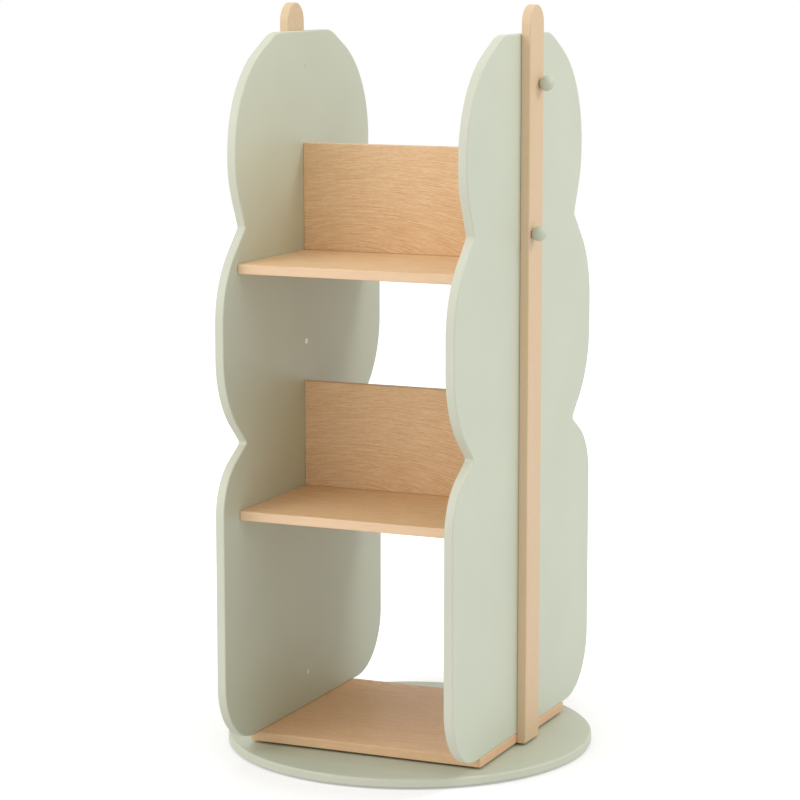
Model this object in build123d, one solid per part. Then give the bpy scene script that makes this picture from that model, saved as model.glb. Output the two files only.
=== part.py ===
from build123d import *
import math
import os

# A revolving bookcase in millimetres. The floor is z = 0 and the turning axis is Z.
# The side panels stand at -X and +X, and the front is towards -Y.

# Base
PAD_DIAMETER = 30.0
PAD_THICKNESS = 2.0
PAD_CIRCLE_DIAMETER = 430.0
PAD_COUNT = 6
DISC_DIAMETER = 498.0
DISC_THICKNESS = 12.7
DISC_EDGE_RADIUS = 2.5
TURN_GAP = 3.3  # the slit between the base disc and the board that turns over it

# Carcass
INNER_WIDTH = 309.0  # clear width between the side panels
FLOOR_DEPTH = 311.0
FLOOR_THICKNESS = 12.7
FLOOR_CORNER_RADIUS = 2.0
PANEL_THICKNESS = 12.7
PANEL_EDGE_RADIUS = 2.0
SHELF_DEPTH = 415.0
SHELF_THICKNESS = 12.7
SHELF_CORNER_RADIUS = 2.0
LOWER_BAY_HEIGHT = 300.0  # clear height from the bottom board to the middle shelf
MIDDLE_BAY_HEIGHT = 313.0  # clear height from the middle shelf to the upper shelf
DIVIDER_HEIGHT = 145.0
DIVIDER_THICKNESS = 12.7
WOOD_EDGE_RADIUS = 1.2

# Outline of a side panel: three lobes with sloping shoulders and flanks, which meet in notches
LOWER_LOBE_WIDTH = 505.0
LOWER_FOOT_RADIUS = 84.0
LOWER_SIDE_HEIGHT = 357.0  # from the panel's foot to the corner where the shoulder starts
LOWER_SHOULDER_RADIUS = 80.0
LOWER_SHOULDER_RISE = 42.5  # from that corner to the lower notch
NOTCH_INSET = 70.0  # how far the notches cut in from the lower lobe's side
NOTCH_RADIUS = 4.0
MIDDLE_LOBE_WIDTH = 499.0
MIDDLE_LOBE_RADIUS = 130.0
MIDDLE_FLANK_RISE = 62.5  # from the lower notch to the middle lobe's lower corner
MIDDLE_SIDE_HEIGHT = 153.5  # from that corner to the upper one
MIDDLE_SHOULDER_RISE = 68.0  # from the upper corner to the upper notch
UPPER_LOBE_WIDTH = 420.0
UPPER_FLANK_RADIUS = 120.0
UPPER_FLANK_RISE = 63.5  # from the upper notch to the upper lobe's lower corner
UPPER_SIDE_HEIGHT = 124.0  # from that corner to the upper one
UPPER_SHOULDER_RADIUS = 145.0
UPPER_SHOULDER_RISE = 62.5  # from the upper corner to the panel's top
TOP_WIDTH = 170.0  # the flat top between the shoulders
TOP_RADIUS = 60.0

# Posts and knobs
POST_WIDTH = 50.0
POST_THICKNESS = 12.7
POST_RISE = 37.5  # the post's top above the panel's top
POST_EDGE_RADIUS = 1.5
KNOB_DIAMETER = 20.0
KNOB_FOOT_DIAMETER = 8.8  # the flat on which the ball stands
KNOB_DROP = 102.5  # from the post's top to the upper knob
KNOB_SPACING = 194.5
KNOB_OFFSET = 12.0  # the knobs stand this far to either side of the post's centre line
STUD_DIAMETER = 4.0
STUD_DEPTH_IN_KNOB = 12.0

# Screws, dowels and cam locks
FIT = 0.1  # radial clearance of a screw, dowel or bolt in its hole
BLIND_COVER = 3.0  # wood left beyond the end of a blind hole
SCREW_DIAMETER = 3.8
SCREW_HEAD_DIAMETER = 7.6
SCREW_HEAD_HEIGHT = 1.9
SCREW_TIP_LENGTH = 2.5
SCREW_TIP_DIAMETER = 1.0
CROSS_LENGTH = 4.2
CROSS_WIDTH = 1.3
CROSS_DEPTH = 1.4
POST_SCREW_INSET = 46.5  # from the panel's top and bottom to the end screws of the post
POST_SCREW_MIDDLE = 512.0  # from the panel's bottom to the middle screw of the post
PANEL_SCREW_SPACING = 210.0
PANEL_SCREW_BITE = 28.0
DIVIDER_SCREW_SPACING = 170.0
DIVIDER_SCREW_BITE = 24.0
DOWEL_DIAMETER = 6.0
DOWEL_DEPTH = 15.0  # into a board's edge
PANEL_DOWEL_SPACING = 120.0
SHELF_DOWEL_SPACING = 330.0
CAM_SPACING = 230.0
CAM_SETBACK = 24.0  # from the shelf's end to the middle of the cam
CAM_DIAMETER = 12.0
CAM_COVER = 2.0  # wood left between the cam and the shelf's top
CAM_SLOT_DEPTH = 1.5
CAM_SLOT_WIDTH = 1.4
CAM_SLOT_LENGTH = 8.0
BOLT_DIAMETER = 6.0  # the part of the bolt in the panel
BOLT_NECK_DIAMETER = 3.6
BOLT_HEAD_DIAMETER = 5.6
BOLT_HEAD_LENGTH = 3.0
BOLT_COLLAR_LENGTH = 1.0

# Turntable bearing: a lower and an upper ring with balls in a cage between them
BALL_DIAMETER = 5.0
BALL_COUNT = 24
BALL_CIRCLE_DIAMETER = 200.0
RACE_FIT = 0.08  # radial clearance of a ball in its groove and in its pocket
RACE_LIP = 0.7  # ring left above and below the groove
RACE_GAP = 2.2  # between the two rings
RING_WALL = 6.0
RING_LIFT = 1.0  # clearance from each ring to the board that it turns against
FLANGE_WIDTH = 15.0
FLANGE_THICKNESS = 2.0
CAGE_THICKNESS = 1.4
CAGE_FLOAT = 0.4  # clearance above and below the cage
RECESS_FIT = 1.0  # clearance around the lower ring in the base disc
RING_SCREW_COUNT = 6
RING_SCREW_DIAMETER = 3.2
RING_SCREW_HEAD_DIAMETER = 6.4
RING_SCREW_HEAD_HEIGHT = 1.8
ACCESS_HOLE_DIAMETER = 16.0  # for the screwdriver that drives the upper ring's screws

# Heights worked out from the sizes above
ball_radius = BALL_DIAMETER / 2
groove_radius = ball_radius + RACE_FIT
ring_height = 2 * (groove_radius + RACE_LIP) + RING_LIFT
bearing_height = ring_height + RING_LIFT
disc_top = PAD_THICKNESS + DISC_THICKNESS
floor_bottom = disc_top + TURN_GAP
floor_top = floor_bottom + FLOOR_THICKNESS
recess_floor = floor_bottom - bearing_height
ball_height = recess_floor + bearing_height / 2
middle_shelf_bottom = floor_top + LOWER_BAY_HEIGHT
middle_shelf_top = middle_shelf_bottom + SHELF_THICKNESS
upper_shelf_bottom = middle_shelf_top + MIDDLE_BAY_HEIGHT
lower_notch = floor_top + LOWER_SIDE_HEIGHT + LOWER_SHOULDER_RISE
upper_notch = lower_notch + MIDDLE_FLANK_RISE + MIDDLE_SIDE_HEIGHT + MIDDLE_SHOULDER_RISE
panel_top = upper_notch + UPPER_FLANK_RISE + UPPER_SIDE_HEIGHT + UPPER_SHOULDER_RISE
post_top = panel_top + POST_RISE

# Places across the width
panel_inner = INNER_WIDTH / 2
panel_middle = panel_inner + PANEL_THICKNESS / 2
panel_outer = panel_inner + PANEL_THICKNESS
post_outer = panel_outer + POST_THICKNESS

# Directions, and the two ends: every piece at the left end is its right twin turned half round
UP = (0, 0, 1)
DOWN = (0, 0, -1)
OUTWARD = (1, 0, 0)
INWARD = (-1, 0, 0)
ENDS = {"right": Rotation(0, 0, 0), "left": Rotation(0, 0, 180)}
STANDING = (Align.CENTER, Align.CENTER, Align.MIN)


def both_ends(pieces):
    """The given right-end pieces, and the same pieces at the left end."""
    return [turn * piece for turn in ENDS.values() for piece in pieces]


def rows(spacing):
    """Two places along Y, to the front and back of the middle."""
    return (-spacing / 2, spacing / 2)


def rod(start, direction, diameter, length):
    """A round bar from a point, along a direction."""
    return Plane(start, z_dir=direction) * Cylinder(diameter / 2, length, align=STANDING)


def eased(edges, radius, wall):
    """The solid that these edges belong to, with them rounded by no more than its wall allows."""
    return fillet(edges, min(radius, 0.4 * wall))


def rim(solid, axis):
    """The edges around the two end faces of a slab that lies across an axis."""
    faces = solid.faces().sort_by(axis)
    return faces[0].edges() + faces[-1].edges()


def screw(point, direction, length):
    """A countersunk cross-head wood screw, its head flush at the point."""
    radius = SCREW_DIAMETER / 2
    shank_length = length - SCREW_TIP_LENGTH
    body = Cone(SCREW_HEAD_DIAMETER / 2, radius, SCREW_HEAD_HEIGHT, align=STANDING)
    body += Cylinder(radius, shank_length, align=STANDING)
    body += Pos(0, 0, shank_length) * Cone(radius, SCREW_TIP_DIAMETER / 2, SCREW_TIP_LENGTH, align=STANDING)
    body -= Box(CROSS_LENGTH, CROSS_WIDTH, CROSS_DEPTH, align=STANDING)
    body -= Box(CROSS_WIDTH, CROSS_LENGTH, CROSS_DEPTH, align=STANDING)
    return Plane(point, z_dir=direction) * body


def screw_hole(point, direction, length):
    """The countersunk hole for that screw."""
    radius = SCREW_DIAMETER / 2 + FIT
    hole = Cone(SCREW_HEAD_DIAMETER / 2 + FIT, radius, SCREW_HEAD_HEIGHT, align=STANDING)
    hole += Cylinder(radius, length + FIT, align=STANDING)
    return Plane(point, z_dir=direction) * hole


def ring_screw(point, direction, length):
    """A domed cross-head screw whose head stands on a ring's flange at the point."""
    head = Pos(0, 0, -RING_SCREW_HEAD_HEIGHT) * Cylinder(
        RING_SCREW_HEAD_DIAMETER / 2, RING_SCREW_HEAD_HEIGHT, align=STANDING
    )
    head = eased(head.edges().sort_by(Axis.Z)[:1], RING_SCREW_HEAD_HEIGHT, RING_SCREW_HEAD_HEIGHT)
    head -= Pos(0, 0, -RING_SCREW_HEAD_HEIGHT) * Box(CROSS_LENGTH, CROSS_WIDTH, CROSS_DEPTH, align=STANDING)
    head -= Pos(0, 0, -RING_SCREW_HEAD_HEIGHT) * Box(CROSS_WIDTH, CROSS_LENGTH, CROSS_DEPTH, align=STANDING)
    body = head + Cylinder(RING_SCREW_DIAMETER / 2, length, align=STANDING)
    return Plane(point, z_dir=direction) * body


def ring(inner_diameter, outer_diameter, bottom, height):
    """A flat ring about the turning axis."""
    tube = Cylinder(outer_diameter / 2, height, align=STANDING)
    tube -= Cylinder(inner_diameter / 2, height, align=STANDING)
    return Pos(0, 0, bottom) * tube


def around(count, diameter, height):
    """Points evenly spaced on a circle about the turning axis."""
    turns = [2 * math.pi * step / count for step in range(count)]
    radius = diameter / 2
    return [(radius * math.cos(turn), radius * math.sin(turn), height) for turn in turns]


# Turntable bearing
lower_ring_inner = BALL_CIRCLE_DIAMETER + RACE_GAP
lower_ring_wall = lower_ring_inner + 2 * RING_WALL
lower_ring_outer = lower_ring_wall + 2 * FLANGE_WIDTH
upper_ring_outer = BALL_CIRCLE_DIAMETER - RACE_GAP
upper_ring_wall = upper_ring_outer - 2 * RING_WALL
upper_ring_inner = upper_ring_wall - 2 * FLANGE_WIDTH
lower_screw_circle = lower_ring_wall + FLANGE_WIDTH
upper_screw_circle = upper_ring_wall - FLANGE_WIDTH
flange_top = recess_floor + FLANGE_THICKNESS
flange_bottom = floor_bottom - FLANGE_THICKNESS
lower_screw_length = flange_top - PAD_THICKNESS - BLIND_COVER
upper_screw_length = FLANGE_THICKNESS + FLOOR_THICKNESS - BLIND_COVER
lower_screw_points = around(RING_SCREW_COUNT, lower_screw_circle, flange_top)
upper_screw_points = around(RING_SCREW_COUNT, upper_screw_circle, flange_bottom)
ring_hole_diameter = RING_SCREW_DIAMETER + 2 * FIT
lower_screw_holes = [rod(p, DOWN, ring_hole_diameter, lower_screw_length + FIT) for p in lower_screw_points]
upper_screw_holes = [rod(p, UP, ring_hole_diameter, upper_screw_length + FIT) for p in upper_screw_points]


def groove():
    """The round channel that the balls run in, half of it in each ring."""
    return Pos(0, 0, ball_height) * Torus(BALL_CIRCLE_DIAMETER / 2, groove_radius)


def lower_ring():
    """The ring on the base: a wall outside the balls, and a flange that the screws hold down."""
    body = ring(lower_ring_inner, lower_ring_wall, recess_floor, ring_height)
    body += ring(lower_ring_wall, lower_ring_outer, recess_floor, FLANGE_THICKNESS)
    return body - groove() - lower_screw_holes


def upper_ring():
    """The ring under the board: a wall inside the balls, and a flange turned inwards."""
    body = ring(upper_ring_wall, upper_ring_outer, recess_floor + RING_LIFT, ring_height)
    body += ring(upper_ring_inner, upper_ring_wall, flange_bottom, FLANGE_THICKNESS)
    return body - groove() - upper_screw_holes


def ball_cage():
    """A thin band between the rings, with a round pocket for each ball."""
    inner = BALL_CIRCLE_DIAMETER - CAGE_THICKNESS
    outer = BALL_CIRCLE_DIAMETER + CAGE_THICKNESS
    band = ring(inner, outer, recess_floor + CAGE_FLOAT, bearing_height - 2 * CAGE_FLOAT)
    pockets = [
        rod((0, 0, ball_height), (x, y, 0), 2 * groove_radius, outer)
        for x, y, height in around(BALL_COUNT, BALL_CIRCLE_DIAMETER, ball_height)
    ]
    return band - pockets


def balls():
    """The balls, each in the middle of its pocket."""
    return [Pos(p) * Sphere(ball_radius) for p in around(BALL_COUNT, BALL_CIRCLE_DIAMETER, ball_height)]


def base_disc():
    """The round base, with a recess for the bearing and a hole to reach the upper ring's screws through."""
    disc = Pos(0, 0, PAD_THICKNESS) * Cylinder(DISC_DIAMETER / 2, DISC_THICKNESS, align=STANDING)
    disc = eased(rim(disc, Axis.Z), DISC_EDGE_RADIUS, DISC_THICKNESS)
    recess_diameter = lower_ring_outer + 2 * RECESS_FIT
    disc -= rod((0, 0, recess_floor), UP, recess_diameter, DISC_THICKNESS)
    access = upper_screw_points[0]
    disc -= rod((access[0], access[1], 0), UP, ACCESS_HOLE_DIAMETER, floor_bottom)
    return disc - lower_screw_holes


def floor_pads():
    """Thin round pads stuck under the base, inside its edge."""
    pads = [rod(p, UP, PAD_DIAMETER, PAD_THICKNESS) for p in around(PAD_COUNT, PAD_CIRCLE_DIAMETER, 0)]
    return [eased(pad.edges().sort_by(Axis.Z)[:1], WOOD_EDGE_RADIUS, PAD_THICKNESS) for pad in pads]


# Fixings of the shelves, for a shelf with its underside at a height
def shelf_dowels(bottom, fit=0.0):
    """Dowels from the right panel into the shelf's end; with a fit, the holes for them."""
    reach = PANEL_THICKNESS - BLIND_COVER + fit
    height = bottom + SHELF_THICKNESS / 2
    return [
        rod((panel_inner + reach, y, height), INWARD, DOWEL_DIAMETER + 2 * fit, reach + DOWEL_DEPTH + fit)
        for y in rows(SHELF_DOWEL_SPACING)
    ]


def cam_height():
    """The height of a cam, which stops short of the shelf's top."""
    return SHELF_THICKNESS - CAM_COVER - FIT


def cam_places(bottom):
    """The middles of a shelf's right-end cams, on its underside."""
    return [(panel_inner - CAM_SETBACK, y, bottom) for y in rows(CAM_SPACING)]


def shelf_cams(bottom):
    """Round cams let into the shelf's underside, each open towards its bolt, with a cross slot below."""
    bolt_height = bottom + SHELF_THICKNESS / 2
    cams = []
    for x, y, height in cam_places(bottom):
        mouth_start = x - BOLT_HEAD_LENGTH / 2 - FIT
        cam = rod((x, y, height), UP, CAM_DIAMETER, cam_height())
        cam -= rod((mouth_start, y, bolt_height), OUTWARD, BOLT_DIAMETER + 2 * FIT, CAM_DIAMETER)
        cam -= Pos(x, y, height) * Box(CAM_SLOT_LENGTH, CAM_SLOT_WIDTH, CAM_SLOT_DEPTH, align=STANDING)
        cam -= Pos(x, y, height) * Box(CAM_SLOT_WIDTH, CAM_SLOT_LENGTH, CAM_SLOT_DEPTH, align=STANDING)
        cams.append(cam)
    return cams


def shelf_cam_holes(bottom):
    """The pockets for the cams, and the bores that their bolts pass through into the right panel."""
    bolt_height = bottom + SHELF_THICKNESS / 2
    reach = PANEL_THICKNESS - BLIND_COVER + FIT
    holes = []
    for x, y, height in cam_places(bottom):
        holes.append(rod((x, y, height), UP, CAM_DIAMETER + 2 * FIT, cam_height() + FIT))
        holes.append(rod((x, y, bolt_height), OUTWARD, BOLT_DIAMETER + 2 * FIT, CAM_SETBACK + reach))
    return holes


def shelf_cam_bolts(bottom):
    """Bolts from the right panel to the cams: a stem in the panel, a collar, a neck and a head."""
    bolt_height = bottom + SHELF_THICKNESS / 2
    stem_length = PANEL_THICKNESS - BLIND_COVER + BOLT_COLLAR_LENGTH
    bolts = []
    for x, y, height in cam_places(bottom):
        head_start = x - BOLT_HEAD_LENGTH / 2
        bolt = rod((panel_inner - BOLT_COLLAR_LENGTH, y, bolt_height), OUTWARD, BOLT_DIAMETER, stem_length)
        bolt += rod((head_start, y, bolt_height), OUTWARD, BOLT_NECK_DIAMETER, panel_inner - head_start)
        bolt += rod((head_start, y, bolt_height), OUTWARD, BOLT_HEAD_DIAMETER, BOLT_HEAD_LENGTH)
        bolts.append(bolt)
    return bolts


# Fixings of the dividers, for a divider that stands on a shelf's top
def divider_dowels(top, fit=0.0):
    """A dowel from the right panel into the divider's end, halfway up; with a fit, the hole for it."""
    reach = PANEL_THICKNESS - BLIND_COVER + fit
    place = (panel_inner + reach, 0, top + DIVIDER_HEIGHT / 2)
    return [rod(place, INWARD, DOWEL_DIAMETER + 2 * fit, reach + DOWEL_DEPTH + fit)]


def divider_screw_places(top):
    """The heads of the screws that come up through the shelf into the divider."""
    return [(x, 0, top - SHELF_THICKNESS) for x in rows(DIVIDER_SCREW_SPACING)]


divider_screw_length = SHELF_THICKNESS + DIVIDER_SCREW_BITE


# Fixings of the panels on the bottom board
panel_screw_places = [(panel_middle, y, floor_bottom) for y in rows(PANEL_SCREW_SPACING)]
panel_screw_length = FLOOR_THICKNESS + PANEL_SCREW_BITE


def panel_dowels(fit=0.0):
    """Dowels from the bottom board up into the right panel; with a fit, the holes for them."""
    reach = FLOOR_THICKNESS - BLIND_COVER + fit
    length = reach + DOWEL_DEPTH + fit
    places = [(panel_middle, y, floor_top - reach) for y in rows(PANEL_DOWEL_SPACING)]
    return [rod(place, UP, DOWEL_DIAMETER + 2 * fit, length) for place in places]


# Fixings of the right post and its knobs
post_screw_heights = [
    floor_top + POST_SCREW_INSET,
    floor_top + POST_SCREW_MIDDLE,
    panel_top - POST_SCREW_INSET,
]
post_screw_places = [(panel_inner, 0, height) for height in post_screw_heights]
post_screw_length = PANEL_THICKNESS + POST_THICKNESS - BLIND_COVER
upper_knob_height = post_top - KNOB_DROP
lower_knob_height = upper_knob_height - KNOB_SPACING
KNOB_PLACES = {
    "upper": (post_outer, KNOB_OFFSET, upper_knob_height),
    "lower": (post_outer, -KNOB_OFFSET, lower_knob_height),
}


def knob_stud(place, fit=0.0):
    """The stud from the post into a knob; with a fit, the hole for it."""
    reach = POST_THICKNESS - BLIND_COVER + fit
    start = (place[0] - reach, place[1], place[2])
    return rod(start, OUTWARD, STUD_DIAMETER + 2 * fit, reach + STUD_DEPTH_IN_KNOB + fit)


def knob(place):
    """A turned ball that stands on the post's face on a small flat."""
    radius = KNOB_DIAMETER / 2
    reach = math.sqrt(radius**2 - (KNOB_FOOT_DIAMETER / 2) ** 2)
    ball = Pos(0, 0, reach) * Sphere(radius)
    behind_post = Pos(0, 0, -KNOB_DIAMETER) * Box(KNOB_DIAMETER, KNOB_DIAMETER, KNOB_DIAMETER, align=STANDING)
    return Plane(place, z_dir=OUTWARD) * (ball - behind_post) - knob_stud(place, FIT)


# Boards
def flat_board(width, depth, corner_radius, bottom, thickness):
    """A level board with rounded corners and eased edges."""
    slab = extrude(RectangleRounded(width, depth, corner_radius), thickness)
    return Pos(0, 0, bottom) * eased(rim(slab, Axis.Z), WOOD_EDGE_RADIUS, thickness)


def bottom_board():
    """The board that turns over the base and carries both panels on its ends."""
    width = INNER_WIDTH + 2 * PANEL_THICKNESS
    board = flat_board(width, FLOOR_DEPTH, FLOOR_CORNER_RADIUS, floor_bottom, FLOOR_THICKNESS)
    holes = both_ends(panel_dowels(FIT))
    holes += both_ends([screw_hole(place, UP, panel_screw_length) for place in panel_screw_places])
    return board - holes - upper_screw_holes


def shelf(bottom):
    """A shelf between the panels, with the holes for its own fixings and its divider's screws."""
    board = flat_board(INNER_WIDTH, SHELF_DEPTH, SHELF_CORNER_RADIUS, bottom, SHELF_THICKNESS)
    holes = both_ends(shelf_dowels(bottom, FIT) + shelf_cam_holes(bottom))
    places = divider_screw_places(bottom + SHELF_THICKNESS)
    return board - holes - [screw_hole(place, UP, divider_screw_length) for place in places]


def divider(top):
    """The low rail along the middle of a shelf, its edges eased."""
    rail = Pos(0, 0, top) * Box(INNER_WIDTH, DIVIDER_THICKNESS, DIVIDER_HEIGHT, align=STANDING)
    rail = eased(rail.edges(), WOOD_EDGE_RADIUS, DIVIDER_THICKNESS)
    holes = both_ends(divider_dowels(top, FIT))
    holes += [screw_hole(place, UP, divider_screw_length) for place in divider_screw_places(top)]
    return rail - holes


def rounded(corners):
    """A face with straight sides, each corner rounded by its radius or by as much as its sides allow."""
    count = len(corners)
    points = [Vector(y, z) for y, z, radius in corners]
    # At each corner: the side that leads to it, the side that leaves it, and how far its rounding reaches
    sides = [points[step] - points[step - 1] for step in range(count)]
    leaving = sides[1:] + sides[:1]
    turns = [math.radians(side.get_angle(after)) for side, after in zip(sides, leaving)]
    reaches = [radius * math.tan(turn / 2) for (y, z, radius), turn in zip(corners, turns)]
    room = [0.95 * side.length / (reaches[step - 1] + reaches[step]) for step, side in enumerate(sides)]
    bends = []
    for step, point in enumerate(points):
        reach = reaches[step] * min(1.0, room[step], room[(step + 1) % count])
        start = point - sides[step].normalized() * reach
        end = point + leaving[step].normalized() * reach
        bends.append((start, end, sides[step]))
    edges = []
    for (start, end, heading), (next_start, next_end, next_heading) in zip(bends, bends[1:] + bends[:1]):
        edges.append(TangentArc(start, end, tangent=heading))
        edges.append(Line(end, next_start))
    return make_face(edges)


def panel_outline():
    """A panel's outline, from each corner's distance to the middle, its height and its rounding."""
    notch = LOWER_LOBE_WIDTH / 2 - NOTCH_INSET
    rising = [
        (LOWER_LOBE_WIDTH / 2, floor_top, LOWER_FOOT_RADIUS),
        (LOWER_LOBE_WIDTH / 2, lower_notch - LOWER_SHOULDER_RISE, LOWER_SHOULDER_RADIUS),
        (notch, lower_notch, NOTCH_RADIUS),
        (MIDDLE_LOBE_WIDTH / 2, lower_notch + MIDDLE_FLANK_RISE, MIDDLE_LOBE_RADIUS),
        (MIDDLE_LOBE_WIDTH / 2, upper_notch - MIDDLE_SHOULDER_RISE, MIDDLE_LOBE_RADIUS),
        (notch, upper_notch, NOTCH_RADIUS),
        (UPPER_LOBE_WIDTH / 2, upper_notch + UPPER_FLANK_RISE, UPPER_FLANK_RADIUS),
        (UPPER_LOBE_WIDTH / 2, panel_top - UPPER_SHOULDER_RISE, UPPER_SHOULDER_RADIUS),
        (TOP_WIDTH / 2, panel_top, TOP_RADIUS),
    ]
    falling = [(-y, z, radius) for y, z, radius in reversed(rising)]
    return rounded(rising + falling)


def side_panel():
    """The right panel: one board in three lobes, its edges eased, standing on the bottom board."""
    slab = extrude(Plane.YZ.offset(panel_inner) * panel_outline(), PANEL_THICKNESS)
    panel = eased(rim(slab, Axis.X), PANEL_EDGE_RADIUS, PANEL_THICKNESS)
    holes = panel_dowels(FIT)
    holes += [screw_hole(place, UP, panel_screw_length) for place in panel_screw_places]
    holes += [screw_hole(place, OUTWARD, post_screw_length) for place in post_screw_places]
    for bottom in (middle_shelf_bottom, upper_shelf_bottom):
        holes += shelf_dowels(bottom, FIT)
        holes += shelf_cam_holes(bottom)
        holes += divider_dowels(bottom + SHELF_THICKNESS, FIT)
    return panel - holes


def post():
    """The right post: a flat bar with a round top, up the outside of the panel and the bottom board."""
    straight = post_top - POST_WIDTH / 2 - floor_bottom
    outline = Pos(0, floor_bottom + straight / 2) * Rectangle(POST_WIDTH, straight)
    outline += Pos(0, floor_bottom + straight) * Circle(POST_WIDTH / 2)
    bar = extrude(Plane.YZ.offset(panel_outer) * outline, POST_THICKNESS)
    bar = eased(rim(bar, Axis.X), POST_EDGE_RADIUS, POST_THICKNESS)
    holes = [screw_hole(place, OUTWARD, post_screw_length) for place in post_screw_places]
    return bar - holes - [knob_stud(place, FIT) for place in KNOB_PLACES.values()]


def save(name, pieces):
    """Writes one named piece, or a group of like pieces, to its own file."""
    solids = [solid for piece in pieces for solid in piece.solids()]
    export_step(solids[0] if len(solids) == 1 else Compound(solids), os.path.join("parts", name + ".step"))


os.makedirs("parts", exist_ok=True)

# Base and bearing
save("floor_pads", floor_pads())
save("base_disc", [base_disc()])
save("bearing_lower_ring", [lower_ring()])
save("lower_ring_screws", [ring_screw(p, DOWN, lower_screw_length) for p in lower_screw_points])
save("ball_cage", [ball_cage()])
save("bearing_balls", balls())
save("bearing_upper_ring", [upper_ring()])
save("upper_ring_screws", [ring_screw(p, UP, upper_screw_length) for p in upper_screw_points])

# Carcass
save("bottom_board", [bottom_board()])
save("panel_screws", both_ends([screw(place, UP, panel_screw_length) for place in panel_screw_places]))
save("panel_dowels", both_ends(panel_dowels()))
right_panel = side_panel()
right_post = post()
post_screws = [screw(place, OUTWARD, post_screw_length) for place in post_screw_places]
for end, turn in ENDS.items():
    save(end + "_side_panel", [turn * right_panel])
    save(end + "_post", [turn * right_post])
    save(end + "_post_screws", [turn * piece for piece in post_screws])
    for level, place in KNOB_PLACES.items():
        save(end + "_" + level + "_knob", [turn * knob(place)])
save("knob_studs", both_ends([knob_stud(place) for place in KNOB_PLACES.values()]))

# Shelves, each with the divider that stands on it
SHELVES = {"middle": ("lower", middle_shelf_bottom), "upper": ("upper", upper_shelf_bottom)}
for level, (rail, bottom) in SHELVES.items():
    top = bottom + SHELF_THICKNESS
    save(level + "_shelf", [shelf(bottom)])
    save(level + "_shelf_dowels", both_ends(shelf_dowels(bottom)))
    save(level + "_shelf_cams", both_ends(shelf_cams(bottom)))
    save(level + "_shelf_cam_bolts", both_ends(shelf_cam_bolts(bottom)))
    save(rail + "_divider", [divider(top)])
    save(rail + "_divider_dowels", both_ends(divider_dowels(top)))
    save(rail + "_divider_screws", [screw(p, UP, divider_screw_length) for p in divider_screw_places(top)])
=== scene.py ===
import math
from collections import namedtuple

import bmesh
import bpy
from bpy.props import FloatProperty, FloatVectorProperty, IntProperty, PointerProperty
from mathutils import Matrix, Vector


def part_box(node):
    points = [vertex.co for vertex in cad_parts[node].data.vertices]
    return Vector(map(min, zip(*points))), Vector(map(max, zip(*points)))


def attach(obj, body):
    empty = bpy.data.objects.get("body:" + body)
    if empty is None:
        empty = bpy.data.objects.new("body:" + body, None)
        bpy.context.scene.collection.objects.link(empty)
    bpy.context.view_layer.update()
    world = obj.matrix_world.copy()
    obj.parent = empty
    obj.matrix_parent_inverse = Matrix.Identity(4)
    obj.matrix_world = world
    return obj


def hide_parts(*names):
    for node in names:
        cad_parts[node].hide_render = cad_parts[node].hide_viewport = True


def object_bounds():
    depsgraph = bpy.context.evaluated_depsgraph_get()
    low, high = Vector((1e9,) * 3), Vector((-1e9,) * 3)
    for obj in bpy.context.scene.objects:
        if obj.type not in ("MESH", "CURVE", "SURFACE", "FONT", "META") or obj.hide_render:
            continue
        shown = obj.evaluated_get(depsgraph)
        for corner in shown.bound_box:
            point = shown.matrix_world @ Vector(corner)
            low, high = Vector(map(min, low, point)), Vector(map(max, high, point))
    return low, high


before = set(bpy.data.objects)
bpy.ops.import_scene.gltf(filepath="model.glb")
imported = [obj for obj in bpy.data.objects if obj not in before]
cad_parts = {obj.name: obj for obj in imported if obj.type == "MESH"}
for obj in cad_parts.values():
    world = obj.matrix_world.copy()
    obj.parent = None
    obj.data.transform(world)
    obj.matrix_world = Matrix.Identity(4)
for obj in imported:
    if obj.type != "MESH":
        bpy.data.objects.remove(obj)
CAD_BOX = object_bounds()

bl_info = {
    "name": "Revolving Bookcase",
    "version": (1, 0, 0),
    "blender": (4, 5, 0),
    "location": "View3D > Sidebar > Bookcase",
    "description": "Paints, veneers and fits out a child's revolving bookcase in a plain studio",
    "category": "Object",
}

MM = 0.001
CASE = "case"
BASE = "base"
ALONG_X = Vector((1, 0, 0))
BACKWARD = Vector((0, 1, 0))
UPWARD = Vector((0, 0, 1))
RIGHT_ANGLE = math.radians(90)
SEAM = 1e-5  # corners nearer than this, in metres, are one corner
FACING = 0.9  # cosine past which a face's normal points in a direction
SMOOTH_ANGLE = math.radians(35)  # flatter corners than this are shaded smooth
SCREW_SIDES = 32
SCREW_POINT = 0.2 * MM  # radius of a screw's blunted point
THREAD_STEPS = 12  # in one turn of a thread

# Colour sockets of a Mix node
MIX_A = 6
MIX_B = 7
MIX_RESULT = 2

WHITE = (1.0, 1.0, 1.0, 1.0)
NOISE_SPAN = {"From Min": 0.3, "From Max": 0.7}  # where most values of a noise lie
LACQUER_IOR = 1.5
NYLON_IOR = 1.53

# How the grain of a piece is turned
LYING = (0, 0, 0)
UPRIGHT = (0, RIGHT_ANGLE, 0)

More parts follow.
